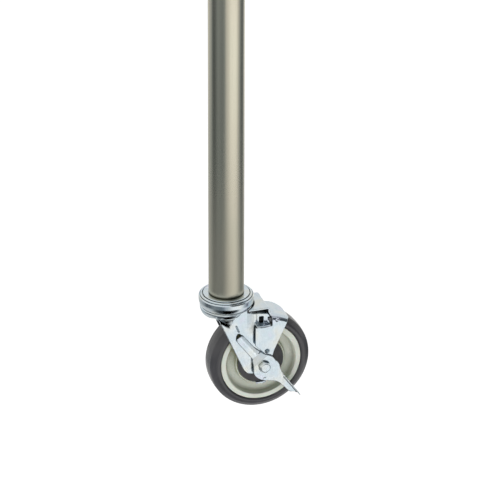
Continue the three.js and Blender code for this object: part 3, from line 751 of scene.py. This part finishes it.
# ---------------------------------------------------------------- brake
def lever_distance():
    direction = math.radians(126.6)
    along = (math.cos(direction), math.sin(direction))
    beside = (-math.sin(direction), math.cos(direction))
    hub = inside_of([
        (-13.3, -6),
        (-13.3, 7.6),
        *arc(0, 0, 15.3, 150, 22),
        *curve(arc(0, 0, 15.3, 22, 22, 1)[0], (19, 3), (20, -4)),
        *curve((20, -4), (20.6, -9.6), (27.4, -18.6)),
        (36, -32),
        (45.5, -44.6),
        *curve((45.5, -44.6), (41, -43.4), (38.5, -41.5)),
        (33.2, -41),
        (21.5, -28.2),
        *curve((21.5, -28.2), (17.5, -23.3), (12, -22.2)),
        (-2.9, -18.8),
        *curve((-2.9, -18.8), (-13.3, -13.6), (-13.3, -6)),
    ])
    strip = inside_of(rounded([
        (6, -8.8),
        (14, -8.8, 3),
        (26.6, -5.8, 10),
        (52, -5.2, 4),
        (52, 5.2, 4),
        (16, 5.2, 3),
        (6, 8),
    ]))
    pedal = inside_of([(26.4, -17), (45.5, -44.6), (43.6, -43.8), (25, -18.2)])
    stop = inside_of(rounded([
        (-10.5, -22.6, 0.6), (2.2, -22.6, 0.6), (2.2, -20.6), (-10.5, -20.6)]))
    root = inside_of([(-1, -21.6), (2.2, -21.6), (2.2, -16), (-1, -16)])
    hub_middle = (HUB_INNER + HUB_OUTER) / 2
    strip_middle = STRIP_INNER + LEVER_PLATE / 2
    half = LEVER_PLATE / 2

    def distance(x, y, z):
        out = -y
        s = x * along[0] + z * along[1]
        n = x * beside[0] + z * beside[1]
        outline = either(hub(x, z), strip(s, n), 3.0)
        middle = hub_middle + (strip_middle - hub_middle) * np.clip((s - 9) / 7.4, 0, 1)
        plate = both(np.abs(out - middle) - half, outline, 0.5)
        wall = both(pedal(x, z), np.abs(out - HUB_INNER - 4.4) - 4.4, 0.5)
        tab_middle = (STRIP_INNER + HUB_OUTER) / 2
        tab_half = (HUB_OUTER - STRIP_INNER) / 2
        tab = both(stop(x, z), np.abs(out - tab_middle) - tab_half, 0.4)
        neck = both(root(x, z), np.abs(out - hub_middle) - half, 0.3)
        body = either(either(plate, wall, 1.2), either(tab, neck, 0.4), 0.8)
        ramp = (out - STRIP_INNER - LEVER_PLATE + 0.2 * (-n - 1)) / 1.02
        body = np.where(s > 17, both(body, ramp, 0.3), body)
        return both(body, AXLE_RADIUS + 0.2 - np.hypot(x, z), 0.3)

    return distance


def brake_lever():
    low, high = (-36, -HUB_OUTER - 6.6, -46), (46, -STRIP_INNER, 47)
    pressed("brake_foot_lever", lever_distance(), low, high, 0.55, AXLE, "lever", "zinc",
            ["brake_lever"])


SHOE = {"top": -15.2, "edge": -28.2, "right": 71.8, "reach": 14.5, "bend": 6.5}
SHOE_CURVE = WHEEL["radius"] + 2 + BRAKE_PLATE
RIVET = (55.5, -34.2)
SIGHT_HOLE = (42.9, -74.5, 2.9)


def around_wheel(radius, start, end, steps=12):
    """Points of a curve about the axle between two distances along X."""
    points = []
    for k in range(steps + 1):
        x = start + (end - start) * k / steps
        points.append((x, -DROP + math.sqrt(radius ** 2 - (x - TRAIL) ** 2)))
    return points


def shoe_distance():
    """The brake plate: level beside the head, a drop, and a pad that follows the tread."""
    bottom = HOOK["top"] - HOOK["thick"] - 0.9
    face = inside_of([
        (28.2, bottom),
        (28.2, -65.3),
        *arc(TRAIL, -DROP, 16.3, 86, 50),
        (51.7, -75.2),
        (70.2, -34.6),
        (74, 0),
        (47.5, 0),
        (49.4, -30),
        (49.4, bottom),
    ])
    under_top = inside_of(rounded([
        (0, SHOE["top"]),
        (45.2, SHOE["top"], 2.5),
        (46.2, -22.2, 3),
        (50.2, -27.9, 3),
        *around_wheel(SHOE_CURVE, 51.4, SHOE["right"] + 6),
        (SHOE["right"] + 6, -90),
        (0, -90),
    ]))
    plan = inside_of(rounded([
        (10, SHOE["edge"] - 9),
        (SHOE["right"], SHOE["edge"] - 9),
        (SHOE["right"], SHOE["reach"], 14),
        (10, SHOE["reach"]),
    ]))
    half = BRAKE_PLATE / 2

    def distance(x, y, z):
        below = -under_top(x, z) - half
        inwards = y + SHOE_OUTER - half
        within = both(plan(x, y), SKIRT["radius"] + 0.6 - np.hypot(x, y), 0.5)
        shelf = both(both(np.abs(below) - half, within, 0.4), SHOE["edge"] - y, 0.1)
        shelf = both(shelf, x - 48.2, 0.4)
        shell = np.abs(bent(inwards, below, SHOE["bend"] - half)) - half
        shell = both(both(shell, within, 0.4), face(x, z) + 0 * y, 0.4)
        far_side = both(np.abs(below) - half, both(within, 44 - x, 0.1), 0.4)
        far_side = both(far_side, SHOE["bend"] - SHOE_OUTER - y, 0.1)
        shell = np.minimum(np.minimum(shell, shelf), far_side)
        around_hole = np.hypot(x - SIGHT_HOLE[0], z - SIGHT_HOLE[1])
        shell = both(shell, SIGHT_HOLE[2] - around_hole, 0.3)
        rivet = 1.5 - np.hypot(x - RIVET[0], z - RIVET[1])
        return both(shell, np.where(y < -20, rivet, -9.0), 0.1)

    return distance


def brake_shoe():
    low, high = (18, SHOE["edge"], -82), (SHOE["right"], SHOE["reach"], SHOE["top"])
    pressed("brake_shoe_plate", shoe_distance(), low, high, 0.5, TUBE_END, "shoe", "zinc",
            ["brake_shoe"])


def return_spring():
    tip, end = 45.6, RIVET[0] + 3
    bottom, top = RIVET[1] - 2.4, RIVET[1] + 2.4
    leaf = inside_of(rounded([
        (tip, bottom, 0.6),
        (end, bottom, 2),
        (end, top, 2),
        (tip, top, 0.6),
    ]))
    half = 0.35

    def distance(x, y, z):
        sprung = 0.9 * smooth_step((51 - x) / 3)
        blade = np.abs(y + SHOE_INNER - 0.5 - sprung) - half
        hole = 1.6 - np.hypot(x - RIVET[0], z - RIVET[1])
        return both(both(blade, leaf(x, z), 0.2), hole, 0.1)

    low, high = (tip, -SHOE_INNER, bottom), (end, -SHOE_INNER + 2, top)
    pressed("shoe_leaf_spring", distance, low, high, 0.3, TUBE_END, "shoe", "steel",
            ["return_spring"])


def spring_rivet():
    def distance(x, y, z):
        radius = np.hypot(x - RIVET[0], z - RIVET[1])
        shank = both(radius - 1.4, np.abs(y + SHOE_INNER + 0.4) - (BRAKE_PLATE + 2.4) / 2, 0.3)
        out = -y - SHOE_OUTER - 0.05
        head = np.sqrt(radius ** 2 + (np.maximum(out, 0) * 1.5) ** 2) - 2.6
        return either(shank, both(head, -out, 0.2), 0.2)

    low = (RIVET[0] - 3, -SHOE_OUTER - 3, RIVET[1] - 3)
    high = (RIVET[0] + 3, -SHOE_INNER + 2, RIVET[1] + 3)
    pressed("shoe_spring_rivet", distance, low, high, 0.25, TUBE_END, "shoe", "zinc",
            ["spring_rivet"])


leg_tube()
swivel_head()
fork()
axle_bolt()
axle_nut()
washers()
wheel()
brake_lever()
brake_shoe()
return_spring()
spring_rivet()

SLOTS = {row["node"]: row["material_slot"] for row in frame["record"]["subparts"]}
for node, part in frame["nodes"].items():
    part.data.materials.clear()
    part.data.materials.append(MATERIALS[SLOTS[node]])


# ---------------------------------------------------------------- camera
VIEW = {
    "lens": 161.6965,
    "place": (-0.7197136, -2.2756003, 0.7687342),
    "right": (0.9505724, -0.3104641, 0.0049165),
    "up": (0.1319152, 0.4181280, 0.8987588),
}


def camera():
    """A long lens, a little to the left of the brake side and 26 degrees above the level."""
    data = bpy.data.cameras.new("camera")
    data.sensor_width = 36
    data.lens = VIEW["lens"]
    right, up = Vector(VIEW["right"]), Vector(VIEW["up"])
    turn = Matrix((right, up, right.cross(up))).transposed().to_4x4()
    made = bpy.data.objects.new("camera", data)
    made.matrix_world = Matrix.Translation(VIEW["place"]) @ turn
    data.clip_start, data.clip_end = 0.05, 50
    bpy.context.scene.collection.objects.link(made)
    bpy.context.scene.camera = made


# ---------------------------------------------------------------- studio
# What the room shows to the metal, by the turn from the camera's own direction, in degrees:
# softboxes to the right and behind, dark screens on both sides.
ROOM = [
    (-180, 0.95), (-150, 0.66), (-125, 0.50), (-106, 0.38), (-94, 0.17), (-84, 0.11),
    (-72, 0.14), (-61, 0.22), (-50, 0.27), (-38, 0.24), (-20, 0.23), (-9, 0.32),
    (1, 0.62), (10, 0.70), (20, 0.92), (33, 1.12), (60, 1.12), (73, 0.86), (82, 0.58),
    (90, 0.40), (99, 0.23), (108, 0.15), (120, 0.16), (131, 0.34), (150, 0.80), (180, 0.95),
]
# How bright that ring is by the height of the direction, from straight down to straight up.
RISE = [(-1.0, 1.0), (-0.5, 1.0), (-0.455, 0.88), (-0.386, 1.0), (-0.33, 1.25), (-0.25, 1.1),
        (0.0, 0.85), (1.0, 0.85)]
# The room below the part, by the same turn: dark in front, lighter at both sides.
UNDER = [
    (-180, 0.70), (-150, 0.72), (-80, 0.60), (-55, 0.22), (-38, 0.07), (48, 0.06), (58, 0.35),
    (70, 0.85), (112, 0.85), (135, 0.70), (180, 0.70),
]
# Soft light on paint and plastic, by height: most of it comes back up off the floor.
FILL = [(-1.0, 1.7), (-0.35, 1.7), (0.0, 0.95), (0.25, 0.12), (1.0, 0.03)]
OVERHEAD = 0.82
# The dark end of the room, level with the part, on the camera's side.
SHADE = {"depth": 0.9, "low": (-0.36, -0.2), "high": (0.9, 0.7),
         "left": (14, 24), "right": (90, 74)}
COOL = (0.86, 0.97, 1.04)
NEUTRAL = (1.0, 1.0, 0.98)


def studio():
    world = bpy.data.worlds.new("studio")
    bpy.context.scene.world = world
    world.use_nodes = True
    tree = world.node_tree
    tree.nodes.clear()

    def node(kind, settings=None, *inputs):
        made = tree.nodes.new(kind)
        for key, value in (settings or {}).items():
            setattr(made, key, value)
        for i, value in enumerate(inputs):
            if isinstance(value, bpy.types.NodeSocket):
                tree.links.new(value, made.inputs[i])
            elif value is not None:
                made.inputs[i].default_value = value
        return made

    def steps(value, stops, low, high):
        place = node("ShaderNodeMapRange", None, value, low, high, 0.0, 1.0).outputs[0]
        ramp = node("ShaderNodeFloatCurve", None, 1.0, place)
        points = ramp.mapping.curves[0].points
        while len(points) < len(stops):
            points.new(0.5, 0.5)
        ceiling = 2.0
        for point, (at, level) in zip(points, stops):
            point.location = ((at - low) / (high - low), level / ceiling)
        ramp.mapping.update()
        return calculate("MULTIPLY", ramp.outputs[0], ceiling)

    def calculate(operation, a, b):
        return node("ShaderNodeMath", {"operation": operation}, a, b).outputs[0]

    def fade(value, start, end):
        """0 at start and 1 at end."""
        settings = {"interpolation_type": "SMOOTHSTEP"}
        return node("ShaderNodeMapRange", settings, value, start, end, 0.0, 1.0).outputs[0]

    def blend(factor, a, b):
        mix = node("ShaderNodeMix", {"data_type": "FLOAT"}, factor, None, a, b)
        return mix.outputs[0]

    towards = Vector(VIEW["place"]) - TUBE_END
    towards = Vector((towards.x, towards.y, 0)).normalized()
    beside = Vector((-towards.y, towards.x, 0))
    ray = node("ShaderNodeTexCoord").outputs["Generated"]
    dot = {"operation": "DOT_PRODUCT"}
    front = node("ShaderNodeVectorMath", dot, ray, tuple(towards)).outputs["Value"]
    right = node("ShaderNodeVectorMath", dot, ray, tuple(beside)).outputs["Value"]
    height = node("ShaderNodeSeparateXYZ", None, ray).outputs["Z"]
    turn = node("ShaderNodeMath", {"operation": "ARCTAN2"}, right, front).outputs[0]
    turn = node("ShaderNodeMath", {"operation": "MULTIPLY"}, turn, 180 / math.pi).outputs[0]
    ring = steps(turn, ROOM, -180, 180)
    rise = steps(height, RISE, -1, 1)
    wall = calculate("MULTIPLY", ring, rise)
    wall = blend(fade(height, -0.53, -0.64), wall, steps(turn, UNDER, -180, 180))
    wall = blend(fade(height, -0.28, -0.06), wall, OVERHEAD)
    level_with = calculate("MULTIPLY", fade(height, *SHADE["low"]), fade(height, *SHADE["high"]))
    ahead = calculate("MULTIPLY", fade(turn, *SHADE["left"]), fade(turn, *SHADE["right"]))
    shade = calculate("MULTIPLY", level_with, ahead)
    kept = calculate("SUBTRACT", 1.0, calculate("MULTIPLY", shade, SHADE["depth"]))
    level = calculate("MULTIPLY", wall, kept)
    tint = node("ShaderNodeMix", {"data_type": "RGBA"}, fade(level, 0.2, 0.75)).outputs[2]
    tint.node.inputs[6].default_value = (*COOL, 1)
    tint.node.inputs[7].default_value = (*NEUTRAL, 1)
    room = node("ShaderNodeBackground", None, tint, level).outputs[0]
    sideways = calculate("SUBTRACT", 1.0, calculate("MULTIPLY", right, 0.15))
    fill = calculate("MULTIPLY", steps(height, FILL, -1, 1), sideways)
    soft = node("ShaderNodeBackground", None, (1, 1, 1, 1), fill).outputs[0]
    paper = node("ShaderNodeBackground", None, (1, 1, 1, 1), 1.0).outputs[0]
    rays = node("ShaderNodeLightPath").outputs
    lit = node("ShaderNodeMixShader", None, rays["Is Diffuse Ray"], room, soft).outputs[0]
    both_ways = node("ShaderNodeMixShader", None, rays["Is Camera Ray"], lit, paper).outputs[0]
    output = node("ShaderNodeOutputWorld", None, both_ways)


def floor():
    """Pale paper under the wheel. It neither lights the part nor is mirrored in the metal."""
    size = 12.0
    mesh = bpy.data.meshes.new("floor")
    level = cad_low.z
    square = [(-size, -size, level), (size, -size, level),
              (size, size, level), (-size, size, level)]
    mesh.from_pydata(square, [], [(0, 1, 2, 3)])
    s = Shader("pale_paper", Roughness=0.9, Emission_Color=(1, 1, 1, 1), Emission_Strength=1.0)
    fibre = s.noise(s.stretched(0.01, 0.01, 0.01), 3.0)
    tone = s.ramp(fibre, (0.3, (0.93, 0.93, 0.93)), (0.7, (0.95, 0.95, 0.95)))
    s.feed(s.surface, "Base Color", tone)
    mesh.materials.append(s.material)
    made = bpy.data.objects.new("floor", mesh)
    made.visible_glossy = False
    made.visible_diffuse = False
    bpy.context.scene.collection.objects.link(made)


def softbox(name, place, aim, size, power):
    data = bpy.data.lights.new(name, "AREA")
    data.shape = "RECTANGLE"
    data.size, data.size_y = size
    data.energy = power
    made = bpy.data.objects.new(name, data)
    made.location = place
    made.rotation_mode = "QUATERNION"
    made.rotation_quaternion = (Vector(aim) - Vector(place)).to_track_quat("-Z", "Y")
    bpy.context.scene.collection.objects.link(made)


camera()
studio()
floor()
softbox("key", (1.2, -1.6, 1.2), (0, 0, -0.4), (1.0, 1.0), 2)
bpy.context.scene.view_settings.view_transform = "Standard"
